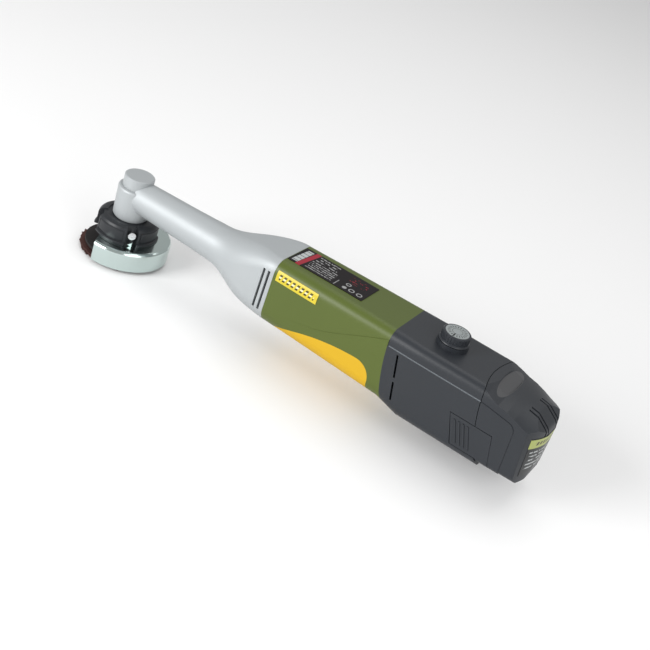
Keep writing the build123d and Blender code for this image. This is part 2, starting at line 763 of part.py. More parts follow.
def armature_windings():
    """Copper in each slot, with an end ring on each face of the core."""
    wires = [
        Rot(360 * i / armature_slots, 0, 0) * rod_x(1.9, armature_front - 1, armature_rear + 1, z=7.1)
        for i in range(armature_slots)]
    rings = []
    for start, end in ((armature_front - 3.5, armature_front - 0.2), (armature_rear + 0.2, armature_rear + 3.0)):
        rings.append(rod_x(9.4, start, end) - rod_x(4.6, start - 1, end + 1))
    return join([*rings, *wires])


def commutator():
    """Copper drum with one bar to each slot."""
    drum = rod_x(commutator_radius, commutator_front, commutator_rear)
    for i in range(armature_slots):
        cut = block((commutator_front - 1, commutator_rear + 1), (-0.2, 0.2), (commutator_radius - 0.7, 9))
        drum -= Rot(360 * i / armature_slots, 0, 0) * cut
    return drum - rod_x(motor_shaft_radius + seat_gap, commutator_front - 1, commutator_rear + 1)


def carbon_brushes():
    """Two brushes against the commutator."""
    start = commutator_radius + running_gap
    span = (commutator_front + 1.2, commutator_front + 4.8)
    brush = block(span, (start, 11.0), (-1.6, 1.6)) - rod_x(start, 150, 180)
    return brush, mirrored(brush)


def motor_mount_plate():
    """Round plate that the motor is screwed to, with air windows."""
    start = motor_front - mount_plate_thickness
    plate = rod_x(mount_plate_radius, start, motor_front)
    plate -= rod_x(motor_boss_radius + seat_gap, start - 1, motor_front + 1)
    for side in (-1, 1):
        plate -= rod_x(screw_radius + seat_gap, start - 1, motor_front + 1, y=9.0 * side)
        plate -= block((start - 1, motor_front + 1), (-3, 3), sorted((8.0 * side, 12.0 * side)))
    return plate


def motor_screws():
    """Two screws through the mount plate into the can."""
    start = motor_front - mount_plate_thickness
    screws = []
    for side in (-1, 1):
        shank = rod_x(screw_radius - 0.2, start, motor_front + 2.5, y=9.0 * side)
        head = rod_x(2.2, start - 1.5, start, y=9.0 * side)
        screws.append(shank + head)
    return screws


# ================================================================ motor housing
def inlay_region():
    """Side outline of the soft grip: a long arc that turns down at its rear end."""
    top = ThreePointArc((118.0, -17.4), (145.0, -8.0), (172.0, -4.5))
    turn = ThreePointArc((172.0, -4.5), (178.9, -7.4), (181.8, -15.0))
    rest = Polyline((181.8, -15.0), (183.0, -reach), (118.0, -reach), (118.0, -17.4))
    return side_prism(Wire([top, turn, *rest.edges()]), -reach, reach)


def green_outside():
    """Outer form of the motor housing, before it is hollowed."""
    return (envelope(body_stations[:4]) + (lower_body() & below_grip_line())) - behind_split()


def motor_housing():
    """Green sleeve round the motor, with screw bosses and two cradle ribs."""
    front = flange_face + 0.1
    skin = green_outside() - block((0, front), everything, everything)
    inside = envelope(body_stations[:4], housing_wall)
    ribs = [
        (envelope(body_stations[:4], 0.5) & block((x, x + 2.0), everything, everything))
        - rod_x(motor_radius + seat_gap, x - 1, x + 3)
        for x in (motor_front + 0.05, motor_rear - 6.0)]
    bosses = corner_bosses(front, 121.0, body_stations[:2]) + corner_bosses(171.0, 181.0, body_stations[1:3])
    housing = join([skin - inside, *ribs, *bosses])
    for y, z in corner_points():
        housing -= rod_x(screw_radius + seat_gap, front - 1, 190.0, y, z)
    room = (envelope(body_stations[:4], -1.0) - envelope(body_stations[:4], inlay_thickness)) & inlay_region()
    return housing - room


def flange_screws():
    """Four screws that hold the motor housing to the casting."""
    screws = []
    for y, z in corner_points():
        shank = rod_x(screw_radius, 103.5, 121.0, y, z)
        screws.append(shank + rod_x(screw_head_radius, 121.0, 121.0 + screw_head_height, y, z))
    return screws


def grip_inlay():
    """Yellow soft grip let into the underside of the motor housing."""
    shell = green_outside() - envelope(body_stations[:4], inlay_thickness)
    return shell & inlay_region()


def surface_plate(outside, shift, window, thickness=0.3):
    """Thin plate that follows an outer surface inside a window, moved out along a direction."""
    direction = Vector(*shift) * thickness
    return (Pos(*direction) * outside - outside) & window


def rating_label():
    """Plain label on top of the motor housing."""
    window = block((110.6, 159.0), (-10.5, 10.5), (10, 30))
    return surface_plate(envelope(body_stations), (0, 0, 1), window)


def side_badges():
    """Plain plates on both upper sides of the motor housing."""
    window = block((112.0, 139.0), (-30, -10), (10.4, 16.6))
    badge = surface_plate(envelope(body_stations), (0, -1, 0), window)
    return badge, mirrored(badge)


# ================================================================ rear housing
def rear_housing():
    """Dark sleeve behind the motor: electronics bay, bulkhead, battery well and dial boss."""
    body = envelope(body_stations) + (lower_body() & below_panel_line())
    skin = (body & behind_split()) - behind_seam() - block((200, 260), everything, (-reach, underside))
    boss = rod_z(dial_boss_radius, control_bottom, dial_boss_top, x=dial_x)
    skin = join([skin, boss])

    bay = envelope(body_stations, housing_wall) & block((170, bulkhead_front), everything, everything)
    skin -= bay
    well = section(bulkhead_rear, well_half_width, well_top, well_bottom, pack_corner + 0.3, pack_corner + 0.3)
    skin -= extrude(well, 70)
    skin -= block((bulkhead_front - 1, 232), (-8, 8), (well_top - 2, 18.6))
    skin -= block((dial_x - control_half_width - 0.1, dial_x + control_half_width + 0.1),
                  (-control_half_width - 0.1, control_half_width + 0.1), (control_bottom - 1, control_top + 0.1))
    skin -= rod_z(dial_shaft_radius + 0.3, control_top, dial_boss_top + 1, x=dial_x)

    lip = envelope(body_stations, housing_wall + 0.15) - envelope(body_stations, housing_wall + 1.5)
    lip &= block((183.0, 196.0), everything, everything)
    posts = corner_bosses(186.5, bulkhead_front + 0.5, body_stations[1:4])
    posts += [rod_x(boss_radius, 181.1, 187.0, y, z) for y, z in corner_points()]
    stands = [rod_x(2.0, board_x + board_thickness, bulkhead_front + 0.5, 0, z) for z in (-12.5, 11.0)]
    green_wall = envelope(body_stations[1:5], -1.0) - envelope(body_stations[1:5], housing_wall + 0.15)
    posts = [post - (green_wall - behind_split()) for post in posts]
    skin = join([skin, lip, *posts, *stands])

    for y, z in corner_points():
        skin -= rod_x(screw_radius + seat_gap, 170, 205, y, z)
        skin -= rod_x(screw_head_radius + 0.2, bulkhead_rear - 1.3, 204, y, z)
    window = block((bulkhead_front - 1, bulkhead_rear + 1), (-contact_half_width, contact_half_width),
                   (blade_z - 4.5, blade_z + 4.5))
    skin -= window
    notch = side_prism(notch_outline(), 15.0, reach)
    skin -= notch
    skin -= mirrored(notch)
    for low, high in ((-15.5, -5.0), (-2.5, 10.5)):
        slit = [(197.5 - 0.2115 * (z + 15.5) + dx, z) for z, dx in ((low, 0), (low, 1.2), (high, 1.2), (high, 0))]
        skin -= side_prism(slit, 14.0, reach)
        skin -= side_prism(slit, -reach, -14.0)
    return skin


def rear_housing_screws():
    """Four screws through the bulkhead into the motor housing."""
    screws = []
    seat = bulkhead_rear - 1.3
    for y, z in corner_points():
        shank = rod_x(screw_radius, 173.0, seat, y, z)
        screws.append(shank + rod_x(screw_head_radius, seat, seat + 1.2, y, z))
    return screws


# ================================================================ electronics
def control_board():
    """Circuit board across the bay, with a capacitor and two chips."""
    board = block((board_x, board_x + board_thickness), (-board_half_width, board_half_width),
                  (-board_half_height, board_half_height))
    capacitor = rod_x(3.0, board_x - 7.5, board_x, -5.0, 8.0)
    chip = block((board_x - 1.2, board_x), (-2, 6), (-4, 2))
    driver = block((board_x - 1.6, board_x), (2, 8), (5, 12))
    return board, capacitor, chip, driver


def power_transistor():
    """Motor transistor with its cooling tab, on the front of the board."""
    case = block((board_x - 4.6, board_x - 0.1), (-8.5, 1.5), (-14.0, -5.5))
    tab = block((board_x - 6.0, board_x - 4.6), (-8.5, 1.5), (-14.0, 0.5))
    return (case + tab) - rod_x(1.6, board_x - 8, board_x - 4, -3.5, -2.2)


def contact_block():
    """Plastic block in the bulkhead that holds the contact blades."""
    width = contact_half_width - seat_gap
    body = block((bulkhead_front - 1.5, bulkhead_rear + 0.5), (-width, width), (blade_z - 4.4, blade_z + 4.4))
    flange = block((bulkhead_front - 3.0, bulkhead_front - 0.1), (-width - 1.5, width + 1.5), (blade_z - 5.5, blade_z + 5.5))
    body = body + flange
    for i in (-1, 0, 1):
        body -= blade_space(i, seat_gap)
    return body


def blade_space(index, grow):
    """Room of one contact blade, grown by a gap."""
    y = blade_pitch * index
    half = blade_thickness / 2 + grow
    return block((blade_front - grow, blade_rear + grow), (y - half, y + half),
                 (blade_z - blade_height / 2 - grow, blade_z + blade_height / 2 + grow))


def contact_blades():
    """Three flat contacts that reach into the pack's nose."""
    return [blade_space(i, 0) for i in (-1, 0, 1)]


def lead(points, radius, bends):
    """Wire along straight runs joined by tangent arcs."""
    path = FilletPolyline(*points, radius=bends)
    start = path.position_at(0)
    plane = Plane(origin=start, z_dir=path.tangent_at(0))
    return sweep(plane * Circle(radius), path=path)


def internal_leads():
    """Two motor leads and three dial leads, whole between their ends."""
    wires = []
    for side in (-1, 1):
        route = ((end_bell_rear + 0.2, 11.9 * side, 0), (177.0, 12.2 * side, 0.5), (184.0, 9.6 * side, 3.5),
                 (board_x - 0.1, 9.2 * side, 3.6))
        wires.append(lead(route, 0.8, [4.0, 4.0]))
    for i in (-1, 0, 1):
        route = ((dial_x - control_half_width - 0.2, 2.0 * i, 17.0), (201.0, 2.0 * i, 17.0),
                 (196.0, 2.0 * i, 14.2), (board_x + board_thickness + 0.1, 2.0 * i, 14.2))
        wires.append(lead(route, 0.5, [2.5, 2.5]))
    return wires


def speed_control():
    """Rotary control body in the dial boss."""
    body = block((dial_x - control_half_width, dial_x + control_half_width),
                 (-control_half_width, control_half_width), (control_bottom, control_top))
    return body - rod_z(dial_shaft_radius + running_gap, control_bottom + 1.0, control_top + 1, x=dial_x)


def dial_shaft():
    """Shaft of the rotary control, flattened where the dial sits on it."""
    shaft = rod_z(dial_shaft_radius, control_bottom + 1.2, dial_top - 2.4, x=dial_x)
    return shaft - block((dial_x + 2.0, dial_x + 9), (-9, 9), (dial_bottom + 0.5, dial_top))


def speed_dial():
    """Fluted dial cap with a short skirt."""
    plate_seat = dial_top - dial_plate_thickness
    rim_top = dial_top - 0.1
    cap = turned_z((
        (0, dial_bottom), (dial_rim_radius + 0.7, dial_bottom), (dial_rim_radius + 0.5, dial_bottom + 0.5),
        (dial_rim_radius, dial_bottom + 1.0), (dial_rim_radius, rim_top - 0.5),
        (dial_rim_radius - 0.5, rim_top), (0, rim_top)))
    cap -= rod_z(dial_plate_radius + seat_gap, plate_seat, dial_top + 1)
    for i in range(dial_flutes):
        flute = rod_z(0.35, dial_bottom + 1.2, dial_top, x=dial_rim_radius + 0.1)
        cap -= Rot(0, 0, 360 * i / dial_flutes) * flute
    cap = Pos(dial_x, 0, 0) * cap
    flat = block((dial_x + 2.0 + seat_gap, dial_x + 9), (-9, 9), (dial_bottom + 0.5, dial_top))
    bore = rod_z(dial_shaft_radius + seat_gap, dial_bottom - 1, dial_top - 2.3, x=dial_x) - flat
    return cap - bore


def dial_scale_plate():
    """Metal plate let into the dial's top."""
    return rod_z(dial_plate_radius, dial_top - dial_plate_thickness, dial_top, x=dial_x)


# ================================================================ battery pack
def crown_face(x, middle, sides):
    """Section below the pack's crowned top at one station."""
    half = 24.0
    top = ThreePointArc((-half, sides), (0, middle), (half, sides))
    rest = Polyline((half, sides), (half, -reach), (-half, -reach), (-half, sides))
    return Plane.YZ.offset(x) * make_face(Wire([top, *rest.edges()]))


def rear_plan(z, front, bow):
    """Plan of the pack at one height, its rear bowed back in the middle by a given amount."""
    wide = 22.3
    corner = pack_rear - bow
    arc = ThreePointArc((corner, -20.4), (pack_rear, 0.0), (corner, 20.4))
    left = ThreePointArc((corner, 20.4), (corner - 2.2, 21.8), (corner - 5.6, wide))
    right = ThreePointArc((corner - 5.6, -wide), (corner - 2.2, -21.8), (corner, -20.4))
    rest = Polyline((corner - 5.6, wide), (front, wide), (front, -wide), (corner - 5.6, -wide))
    return Plane.XY.offset(z) * make_face(Wire([arc, left, *rest.edges(), right]))


def pack_outside(grow=0.0):
    """Outer form of the pack behind the seam: sloping crowned top and a bulged rear face."""
    front = seam_top - 20
    stations = (
        (front, 21.5, 20.4, pack_bottom, 5.0, 4.5),
        (252.0, 21.5, 20.4, pack_bottom, 5.2, 4.5),
        (pack_rear + 2, 20.6, 20.0, pack_bottom, 9.0, 4.5),
    )
    body = envelope(stations, -grow)
    body &= loft([crown_face(*station) for station in pack_crown], ruled=True)
    side = FilletPolyline(
        (front, -40), (front, 40), (262, 40), (268.0, 15.8), (pack_rear - 0.4, 8.8),
        (pack_rear, -8.0), (pack_rear - 0.8, pack_bottom), (pack_rear - 4, -40),
        radius=[1, 1, 1, 4.0, 6.0, 30.0, 1.0, 1], close=True)
    body &= side_prism(side, *everything)
    plan = loft([rear_plan(-30.0, front, 3.0), rear_plan(22.0, front, 8.6)], ruled=True)
    return body & plan


def pack_skin():
    """Outer form of the pack with its lower side panels standing proud."""
    return pack_outside() + (pack_outside(-side_inset[-1]) & below_panel_line())


def battery_case():
    """Pack shell: exposed grip end and the sleeve that slides into the well."""
    start = pack_nose_x + pack_nose_wall + 0.02
    exposed = pack_skin() & behind_seam(free_gap)
    inserted = extrude(
        section(start, pack_half_width, pack_top, pack_bottom, pack_corner, pack_corner), 262 - start)
    case = join([exposed, inserted & block((0, 262), (-40, 40), (-40, 40))])
    cavity = section(start - 1, pack_half_width - pack_wall, pack_top - pack_wall, pack_bottom + pack_wall,
                     pack_corner - 0.5, pack_corner - 0.5)
    case -= extrude(cavity, cell_front + cell_length + 2.0 - start)
    window = side_prism(latch_outline(free_gap, latch_root_gap), pack_half_width - pack_wall - 1, reach)
    case -= window
    case -= mirrored(window)
    scoop_plane = Plane(origin=(pack_scoop[0], 0, pack_scoop[1]), x_dir=(0, 1, 0), z_dir=(0.34, 0, 0.94))
    case -= scoop_plane * Pos(0, 0, -0.7) * extrude(Ellipse(17.5, 4.6), 6)
    depth = 0.8
    rounding = pack_outside(1.0) - Pos(-depth, 0, -depth) * pack_outside()
    for y in (-8.6, -5.6, 5.6, 8.6):
        case -= rounding & block((264.5, 290), (y - 0.55, y + 0.55), (6.0, 30))
    return case


def battery_nose():
    """Front plate of the pack with slots for the contact blades."""
    plate = extrude(section(pack_nose_x, pack_half_width, pack_top, pack_bottom, pack_corner, pack_corner),
                    pack_nose_wall)
    inner = section(pack_nose_x + pack_nose_wall, pack_half_width - pack_wall - 0.05, pack_top - pack_wall - 0.05,
                    pack_bottom + pack_wall + 0.05, pack_corner - 0.5, pack_corner - 0.5)
    hollow = section(pack_nose_x + pack_nose_wall, pack_half_width - pack_wall - 1.2, pack_top - pack_wall - 1.2,
                     pack_bottom + pack_wall + 1.2, pack_corner - 1.5, pack_corner - 1.5)
    plate = plate + (extrude(inner, 2.5) - extrude(hollow, 3))
    for i in (-1, 0, 1):
        plate -= blade_space(i, free_gap)
    return plate


def battery_cells():
    """Three cells side by side in a triangle."""
    return [rod_x(cell_radius, cell_front, cell_front + cell_length, y, z) for y, z in cell_centres]


def cell_links():
    """Welded strips on the cell ends."""
    front = cell_front - 0.35
    rear = cell_front + cell_length + 0.02
    low = cell_centres[0][1]
    flat = block((rear, rear + 0.3), (-12, 12), (low - 3, low + 3))
    upright = block((front, front + 0.3), (-3, 3), (cell_high_z - 3, cell_high_z + 4))
    foot_left = block((front, front + 0.3), (-12, -5), (low - 3, low + 3))
    foot_right = block((front, front + 0.3), (5, 12), (low - 3, low + 3))
    cap = block((rear, rear + 0.3), (-3, 3), (cell_high_z - 3, cell_high_z + 3))
    return flat, upright, foot_left, foot_right, cap


def protection_board():
    """Small circuit board in the pack's nose."""
    board = block((212.2, 213.4), (-14, 14), (-16, 9))
    chip = block((213.4, 214.4), (-4, 4), (-12, -7))
    return board, chip


def pack_contacts():
    """Three forked springs that grip the contact blades."""
    half = blade_thickness / 2 + 0.12
    forks = []
    for i in (-1, 0, 1):
        y = blade_pitch * i
        fork = block((206.2, 212.1), (y - half - 0.6, y + half + 0.6), (blade_z - 2.2, blade_z + 2.2))
        forks.append(fork - block((200, 211.5), (y - half, y + half), (blade_z - 4, blade_z + 4)))
    return forks


def battery_label():
    """Plain label on the pack's rear face."""
    window = block((268, 290), (-17.5, 17.5), (-17, 6))
    return surface_plate(pack_outside(), (1, 0, 0), window, 0.25)


def latch_button():
    """Ribbed latch button in the right side wall of the pack."""
    plate = side_prism(latch_outline(), latch_face - latch_thickness, latch_face)
    for i in range(latch_ribs):
        x = 233.7 + 2.6 * i
        rib = [(x, -4.4), (x + 1.0, -4.4), (x + 5.9, -16.8), (x + 4.9, -16.8)]
        plate += side_prism(rib, latch_face - 0.1, latch_face + latch_rib_height)
    return plate


def latch_spring():
    """Bowed leaf behind a latch button."""
    inner = latch_face - latch_thickness - 0.05
    rise = 1.25
    outer_arc = ThreePointArc((238.5, inner - rise), (244.5, inner), (250.5, inner - rise))
    inner_arc = ThreePointArc((250.5, inner - rise - 0.25), (244.5, inner - 0.25), (238.5, inner - rise - 0.25))
    ends = (Line(outer_arc @ 1, inner_arc @ 0), Line(inner_arc @ 1, outer_arc @ 0))
    face = make_face(Wire([outer_arc, ends[0], inner_arc, ends[1]]))
    return Pos(0, 0, -13.0) * extrude(face, 5.0)


# ================================================================ write the nodes
def main():
    os.makedirs("parts", exist_ok=True)
    save("gear_head_housing", gear_head_housing())
    save("head_top_cap", head_top_cap())
    save("spindle_upper_bearing", *[Pos(0, 0, upper_bearing_z) * b for b in bearing(small_bearing)])
    save("spindle_lower_bearing", *[Pos(0, 0, lower_bearing_z) * b for b in bearing(large_bearing)])
    save("bearing_retainer", bearing_retainer())
    save("neck_front_bearing", *[Pos(front_bearing_x, 0, 0) * along_drive(b) for b in bearing(small_bearing)])
    save("neck_rear_bearing", *[Pos(rear_bearing_x, 0, 0) * along_drive(b) for b in bearing(small_bearing)])
    save("output_spindle", output_spindle())
    save("crown_bevel_gear", crown_bevel_gear())
    save("bevel_pinion", bevel_pinion())
    save("drive_shaft", drive_shaft())
    save("shaft_coupling", shaft_coupling())
    save("inner_flange", inner_flange())
    save("disc_backing", disc_backing())
    save("abrasive_flaps", *abrasive_flaps())
    save("outer_flange", outer_flange())
    save("disc_screw", disc_screw())
    save("wheel_guard", wheel_guard())
    save("guard_clamp", guard_clamp())
    save("clamp_screw", clamp_screw())
    save("motor_shaft", motor_shaft())
    save("cooling_fan", cooling_fan())
    save("motor_can", motor_can())
    save("motor_end_bell", motor_end_bell())
    save("motor_bushings", *motor_bushings())
    save("field_magnets", *field_magnets())
    save("armature_core", armature_core())
    save("armature_windings", armature_windings())
    save("commutator", commutator())
    save("carbon_brushes", *carbon_brushes())
    save("motor_mount_plate", motor_mount_plate())
    save("motor_screws", *motor_screws())
    save("motor_housing", motor_housing())
    save("flange_screws", *flange_screws())
    save("grip_inlay", grip_inlay())
    save("rating_label", rating_label())
    save("side_badges", *side_badges())
    save("rear_housing", rear_housing())
    save("rear_housing_screws", *rear_housing_screws())
    save("control_board", *control_board())
    save("power_transistor", power_transistor())
    save("contact_block", contact_block())
    save("contact_blades", *contact_blades())
    save("internal_leads", *internal_leads())
    save("speed_control", speed_control())
    save("dial_shaft", dial_shaft())
    save("speed_dial", speed_dial())
    save("dial_scale_plate", dial_scale_plate())
    save("battery_case", battery_case())
    save("battery_nose", battery_nose())
    save("battery_cells", *battery_cells())
    save("cell_links", *cell_links())
    save("protection_board", *protection_board())
    save("pack_contacts", *pack_contacts())
    save("battery_label", battery_label())
    for side, place in (("right", lambda piece: piece), ("left", mirrored)):
        save(f"latch_button_{side}", place(latch_button()))
        save(f"latch_spring_{side}", place(latch_spring()))


main()
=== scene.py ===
# %% [markdown]
# # A long-neck right-angle grinder
# The CAD model already holds every part at its real size and place. This lesson gives each
# part its finish, adds a few fine pieces, and sets up the light and the camera. It starts by
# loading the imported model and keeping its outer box.

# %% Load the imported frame
import json
import math

import bpy
from mathutils import Matrix, Vector


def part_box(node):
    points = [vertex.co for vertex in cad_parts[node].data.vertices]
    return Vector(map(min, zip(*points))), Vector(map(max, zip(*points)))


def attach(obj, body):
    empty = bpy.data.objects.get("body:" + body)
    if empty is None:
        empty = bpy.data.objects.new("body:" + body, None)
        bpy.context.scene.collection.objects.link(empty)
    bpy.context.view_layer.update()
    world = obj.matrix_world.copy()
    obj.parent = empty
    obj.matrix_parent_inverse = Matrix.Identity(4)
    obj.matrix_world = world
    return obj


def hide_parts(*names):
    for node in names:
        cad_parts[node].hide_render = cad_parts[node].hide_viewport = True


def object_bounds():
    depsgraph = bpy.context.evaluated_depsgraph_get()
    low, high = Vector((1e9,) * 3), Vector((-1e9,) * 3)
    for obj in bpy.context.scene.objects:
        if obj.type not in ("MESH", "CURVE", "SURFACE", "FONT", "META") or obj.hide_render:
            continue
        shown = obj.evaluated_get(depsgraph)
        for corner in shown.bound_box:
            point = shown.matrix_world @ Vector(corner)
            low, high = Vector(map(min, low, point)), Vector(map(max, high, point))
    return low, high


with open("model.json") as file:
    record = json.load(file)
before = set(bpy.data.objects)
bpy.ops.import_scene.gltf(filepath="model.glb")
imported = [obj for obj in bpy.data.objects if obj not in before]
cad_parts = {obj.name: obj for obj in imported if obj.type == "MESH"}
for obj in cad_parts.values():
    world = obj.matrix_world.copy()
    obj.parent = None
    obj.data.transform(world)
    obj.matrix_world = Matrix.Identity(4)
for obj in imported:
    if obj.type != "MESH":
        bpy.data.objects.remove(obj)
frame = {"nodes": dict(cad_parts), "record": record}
nodes = frame["nodes"]
cad_low, cad_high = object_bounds()
print(len(nodes), "parts, object is", [round(v, 4) for v in cad_high - cad_low], "m")

MM = 0.001
PER_METRE = 1000.0  # millimetres in a metre


# %% [markdown]
# ## Finishes
# Nearly every surface here is moulded plastic, cast alloy or plated steel. What tells them
# apart up close is a fine grain, a slow drift in colour and a change in gloss. Two small
# node groups make those effects, and each material places them with its own values.

# %% A shared grain: fine bumps and a matching change in gloss
def new_group(name, inputs, outputs):
    """Empty shader group with named sockets. Returns the tree with its two end nodes."""
    tree = bpy.data.node_groups.new(name, "ShaderNodeTree")
    for label, kind, default in inputs:
        socket = tree.interface.new_socket(name=label, in_out="INPUT", socket_type=kind)
        if default is not None:
            socket.default_value = default
    for label, kind in outputs:
        tree.interface.new_socket(name=label, in_out="OUTPUT", socket_type=kind)
    start = tree.nodes.new("NodeGroupInput")
    end = tree.nodes.new("NodeGroupOutput")
    return tree, start, end


def add_noise(tree, vector, scale, detail=3.0, roughness=0.6):
    """Noise texture fed by a vector socket."""
    noise = tree.nodes.new("ShaderNodeTexNoise")
    noise.inputs["Detail"].default_value = detail
    noise.inputs["Roughness"].default_value = roughness
    if isinstance(scale, (int, float)):
        noise.inputs["Scale"].default_value = scale
    else:
        tree.links.new(scale, noise.inputs["Scale"])
    tree.links.new(vector, noise.inputs["Vector"])
    return noise


def add_math(tree, operation, first, second):
    """Math node; each input is a number or a socket."""
    node = tree.nodes.new("ShaderNodeMath")
    node.operation = operation
    for socket, value in zip(node.inputs, (first, second)):
        if isinstance(value, (int, float)):
            socket.default_value = value
        else:
            tree.links.new(value, socket)
    return node.outputs[0]


FLOAT, COLOR, VECTOR = "NodeSocketFloat", "NodeSocketColor", "NodeSocketVector"
grain_group, grain_in, grain_out = new_group(
    "surface_grain",
    [("Vector", VECTOR, None), ("Scale", FLOAT, 900.0), ("Gloss", FLOAT, 0.4), ("Spread", FLOAT, 0.1)],
    [("Height", FLOAT), ("Roughness", FLOAT)])
fine = add_noise(grain_group, grain_in.outputs["Vector"], grain_in.outputs["Scale"], 2.0, 0.5)
slow = add_noise(grain_group, grain_in.outputs["Vector"], 35.0, 4.0, 0.65)
off_middle = add_math(grain_group, "SUBTRACT", slow.outputs["Fac"], 0.5)
shift = add_math(grain_group, "MULTIPLY", off_middle, grain_in.outputs["Spread"])
shifted_gloss = add_math(grain_group, "ADD", grain_in.outputs["Gloss"], shift)
grain_group.links.new(fine.outputs["Fac"], grain_out.inputs["Height"])
grain_group.links.new(shifted_gloss, grain_out.inputs["Roughness"])
print("group surface_grain has", len(grain_group.nodes), "nodes")

# %% A shared colour drift: two tones of one colour, blended slowly
tone_group, tone_in, tone_out = new_group(
    "tone_drift",
    [("Vector", VECTOR, None), ("Color", COLOR, (0.5, 0.5, 0.5, 1.0)),
     ("Amount", FLOAT, 0.15), ("Scale", FLOAT, 18.0)],
    [("Color", COLOR)])
drift = add_noise(tone_group, tone_in.outputs["Vector"], tone_in.outputs["Scale"], 5.0, 0.6)
drift_off_middle = add_math(tone_group, "SUBTRACT", drift.outputs["Fac"], 0.5)
swing = add_math(tone_group, "MULTIPLY", drift_off_middle, tone_in.outputs["Amount"])
tone = tone_group.nodes.new("ShaderNodeHueSaturation")
tone_group.links.new(tone_in.outputs["Color"], tone.inputs["Color"])
tone_group.links.new(add_math(tone_group, "ADD", swing, 1.0), tone.inputs["Value"])
tone_group.links.new(tone.outputs["Color"], tone_out.inputs["Color"])
print("group tone_drift has", len(tone_group.nodes), "nodes")


# %% A finish: one material from a colour, a gloss and a grain
def finish(name, color, gloss, metallic=0.0, grain=900.0, bump=0.00002, drift=0.12,
           spread=0.12, coat=0.0, shine=0.35):
    """Material with its own Principled shader and the two shared groups."""
    material = bpy.data.materials.new(name)
    material.use_nodes = True
    tree = material.node_tree
    shader = tree.nodes["Principled BSDF"]
    place = tree.nodes.new("ShaderNodeTexCoord").outputs["Object"]

    tones = tree.nodes.new("ShaderNodeGroup")
    tones.node_tree = tone_group
    tones.inputs["Color"].default_value = (*color, 1.0)
    tones.inputs["Amount"].default_value = drift
    tree.links.new(place, tones.inputs["Vector"])
    tree.links.new(tones.outputs["Color"], shader.inputs["Base Color"])

    surface = tree.nodes.new("ShaderNodeGroup")
    surface.node_tree = grain_group
    surface.inputs["Scale"].default_value = grain
    surface.inputs["Gloss"].default_value = gloss
    surface.inputs["Spread"].default_value = spread
    tree.links.new(place, surface.inputs["Vector"])
    tree.links.new(surface.outputs["Roughness"], shader.inputs["Roughness"])

    relief = tree.nodes.new("ShaderNodeBump")
    relief.inputs["Strength"].default_value = 1.0
    relief.inputs["Distance"].default_value = bump
    tree.links.new(surface.outputs["Height"], relief.inputs["Height"])
    tree.links.new(relief.outputs["Normal"], shader.inputs["Normal"])

    shader.inputs["Metallic"].default_value = metallic
    shader.inputs["Coat Weight"].default_value = coat
    shader.inputs["Coat Roughness"].default_value = 0.15
    shader.inputs["Specular IOR Level"].default_value = shine
    return material


cast_alloy = finish("cast_alloy", (0.37, 0.392, 0.402), 0.52, metallic=0.28, grain=1400, drift=0.10,
                    shine=0.5)
bright_steel = finish("bright_steel", (0.62, 0.63, 0.64), 0.28, metallic=1.0, grain=1200, bump=0.00001)
zinc_plate = finish("zinc_plate", (0.55, 0.64, 0.62), 0.16, metallic=1.0, grain=500, bump=0.000006,
                    spread=0.10)
green_shell = finish("green_shell", (0.074, 0.100, 0.016), 0.40, grain=1800, bump=0.00003, drift=0.10)
yellow_grip = finish("yellow_grip", (0.54, 0.325, 0.006), 0.55, grain=1600, bump=0.00004, drift=0.06)
dark_shell = finish("dark_shell", (0.021, 0.024, 0.029), 0.40, grain=1800, bump=0.00003, drift=0.15)
black_collar = finish("black_collar", (0.018, 0.020, 0.023), 0.40, grain=1500, bump=0.00003)
label_film = finish("label_film", (0.006, 0.004, 0.005), 0.34, grain=600, bump=0.000004, shine=0.15)
badge_film = finish("badge_film", (0.55, 0.44, 0.028), 0.35, grain=600, bump=0.000004)
rear_film = finish("rear_film", (0.016, 0.017, 0.018), 0.34, grain=600, bump=0.000004)
flap_cloth = finish("flap_cloth", (0.060, 0.024, 0.020), 0.85, grain=3000, bump=0.00020, drift=0.9)
disc_back = finish("disc_back", (0.014, 0.012, 0.012), 0.75, grain=1500, bump=0.00006, drift=0.3)
copper = finish("copper", (0.72, 0.36, 0.20), 0.30, metallic=1.0)
bronze = finish("bronze", (0.50, 0.34, 0.14), 0.40, metallic=1.0)
dark_iron = finish("dark_iron", (0.10, 0.10, 0.11), 0.55, metallic=0.8)
board_green = finish("board_green", (0.02, 0.16, 0.06), 0.30, coat=0.3)
wire_red = finish("wire_red", (0.45, 0.02, 0.02), 0.4)
cell_wrap = finish("cell_wrap", (0.03, 0.14, 0.35), 0.3, coat=0.4)
dial_metal = finish("dial_metal", (0.46, 0.50, 0.50), 0.34, metallic=0.9, grain=900)
print(len(bpy.data.materials), "finishes")


# %% [markdown]
# ## Printed marks and painted light
# Labels on a tool are printed film. Print has no thickness to speak of, so it belongs in the
# material: simple shapes are worked out from the place on the label and laid over its colour
# one by one. All printed marks here are plain bars, dashes and rings, with no lettering. The
# same layering also paints a highlight line on the dark shell and a patch of light on the
# pack's finger scoop.

# %% Small helpers for masks
def compare_less(tree, value, limit):
    """1 where a value is below a limit."""
    return add_math(tree, "LESS_THAN", value, limit)


def distance_from(tree, value, centre):
    """How far a value is from a centre."""
    return add_math(tree, "ABSOLUTE", add_math(tree, "SUBTRACT", value, centre), 0.0)


def sum_of_squares(tree, first, second):
    """First squared plus second squared."""
    return add_math(tree, "ADD", add_math(tree, "MULTIPLY", first, first),
                    add_math(tree, "MULTIPLY", second, second))


